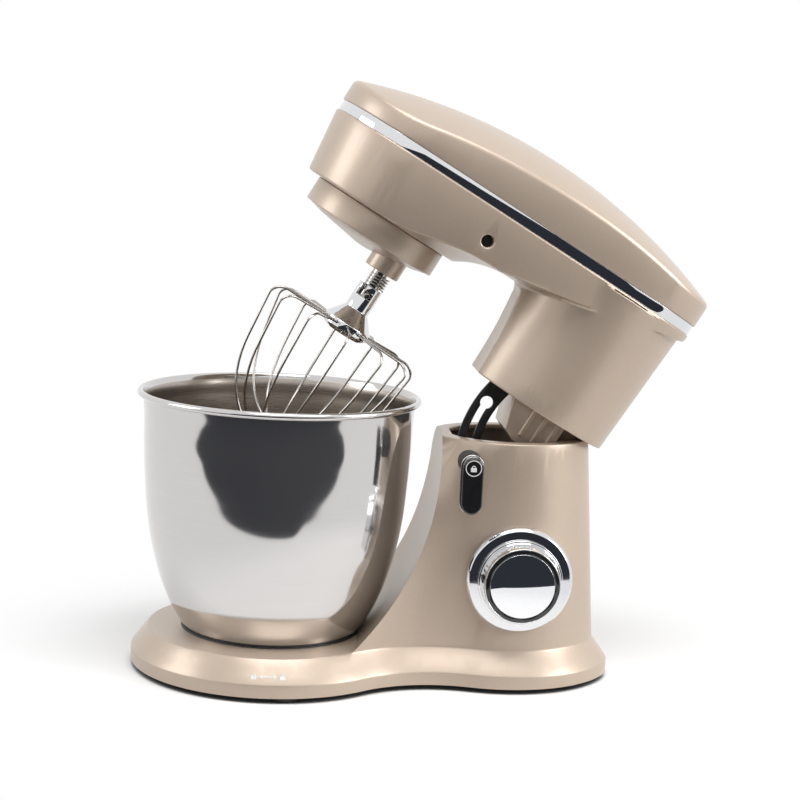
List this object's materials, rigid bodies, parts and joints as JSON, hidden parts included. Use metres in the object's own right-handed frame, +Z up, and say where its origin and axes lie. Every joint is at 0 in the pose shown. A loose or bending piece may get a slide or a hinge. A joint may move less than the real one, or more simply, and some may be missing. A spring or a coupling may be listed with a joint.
{
  "type": "stand mixer",
  "caption": "Tilt-head stand mixer with a planetary whisk, a steel bowl in a bayonet seat, a tilt-release lever and a rotary speed knob.",
  "frame": {"origin": "on the table, under the middle of the object's bounding box with the head open", "axes": "+X from the bowl to the column, +Y away from the lever and knob side, +Z up"},
  "size_m": [0.419, 0.21, 0.437],
  "materials": {
    "champagne_paint": "satin metallic",
    "bright_chrome": "polished",
    "mirror_disc": "polished",
    "bowl_steel": "polished outside, brushed inside",
    "wire_steel": "polished",
    "bare_steel": "machined",
    "gear_steel": "hobbed",
    "gear_nylon": "matte",
    "gloss_black": "gloss",
    "badge_white": "gloss",
    "matte_black": "matte",
    "black_steel": "satin",
    "foot_rubber": "matte",
    "cast_alloy": "cast",
    "bush_bronze": "sintered",
    "motor_iron": "laminated",
    "motor_can": "plated",
    "copper": "enamelled",
    "carbon": "matte",
    "board_green": "matte"
  },
  "bodies": {
    "base": {"base_housing": "champagne_paint", "base_plate": "matte_black", "base_screws": "bare_steel", "bowl_seat": "matte_black", "control_board": "board_green", "cord_gland": "foot_rubber", "hinge_pin": "bare_steel", "knob_bezel": "bright_chrome", "lever_bush": "matte_black", "rubber_feet": "foot_rubber", "speed_switch": "matte_black"},
    "lever": {"release_lever": "gloss_black", "lever_badge": "badge_white", "lever_trim": "bright_chrome", "lock_shaft": "bare_steel", "shaft_clip": "bare_steel"},
    "knob": {"speed_knob": "bright_chrome", "knob_ring": "gloss_black", "knob_face": "mirror_disc"},
    "bowl": {"mixing_bowl": "bowl_steel", "bowl_foot": "bowl_steel"},
    "head": {"head_upper_cover": "champagne_paint", "chrome_band": "bright_chrome", "head_lower_housing": "champagne_paint", "flank_screws": "bare_steel", "hinge_tongue": "champagne_paint", "lock_plate": "black_steel", "ring_gear": "gear_steel", "gearbox_plate": "cast_alloy", "drive_bushes": "bush_bronze", "motor_bracket": "cast_alloy", "motor_frame": "motor_can", "motor_stator": "motor_iron", "field_coils": "copper", "brush_holders": "matte_black", "motor_brushes": "carbon"},
    "planetary": {"carrier_shaft": "bare_steel", "main_gear": "gear_nylon", "planet_drum": "champagne_paint", "drum_cover": "champagne_paint", "drum_screw": "bare_steel"},
    "tool_shaft": {"output_shaft": "wire_steel", "planet_pinion": "gear_steel", "cross_pin": "wire_steel", "shaft_spring": "wire_steel", "shaft_collar": "bare_steel"},
    "idler": {"idler_shaft": "bare_steel", "idler_gear": "gear_nylon", "idler_pinion": "gear_steel"},
    "armature": {"motor_shaft": "bare_steel", "armature_core": "motor_iron", "commutator": "copper", "cooling_fan": "gear_nylon", "motor_pinion": "gear_steel"},
    "whisk": {"whisk_hub": "bright_chrome", "whisk_wires": "wire_steel"}
  },
  "joints": [
    {"name": "head_tilt", "type": "hinge", "parent": "base", "child": "head", "pos_m": [0.11529, 0, 0.1624], "axis": [0, 1, 0], "range_deg": [-30, 0]},
    {"name": "planetary_spin", "type": "hinge", "parent": "head", "child": "planetary", "pos_m": [-0.03576, 0, 0.34037], "axis": [0.5, 0, 0.866], "continuous": true},
    {"name": "tool_spin", "type": "hinge", "parent": "planetary", "child": "tool_shaft", "pos_m": [-0.01671, 0, 0.32937], "axis": [0.5, 0, 0.866], "continuous": true},
    {"name": "whisk_twist", "type": "hinge", "parent": "tool_shaft", "child": "whisk", "pos_m": [-0.01671, 0, 0.32937], "axis": [0.5, 0, 0.866], "range_deg": [0, 35]},
    {"name": "idler_spin", "type": "hinge", "parent": "head", "child": "idler", "pos_m": [0.00754, 0, 0.31537], "axis": [0.5, 0, 0.866], "continuous": true},
    {"name": "armature_spin", "type": "hinge", "parent": "head", "child": "armature", "pos_m": [0.04392, 0, 0.29437], "axis": [0.5, 0, 0.866], "continuous": true},
    {"name": "lever_turn", "type": "hinge", "parent": "base", "child": "lever", "pos_m": [0.03399, -0.06, 0.1675], "axis": [0, -1, 0], "range_deg": [0, 90]},
    {"name": "knob_turn", "type": "hinge", "parent": "base", "child": "knob", "pos_m": [0.07374, -0.065, 0.0832], "axis": [0, -1, 0], "range_deg": [-30, 210]},
    {"name": "bowl_turn", "type": "hinge", "parent": "base", "child": "bowl", "pos_m": [-0.10451, 0, 0.1], "axis": [0, 0, 1], "range_deg": [0, 25]}
  ],
  "couplings": [
    {"joint": "tool_spin", "follows": "planetary_spin", "ratio": -3.75},
    {"joint": "idler_spin", "follows": "planetary_spin", "ratio": -4},
    {"joint": "armature_spin", "follows": "planetary_spin", "ratio": 20}
  ]
}
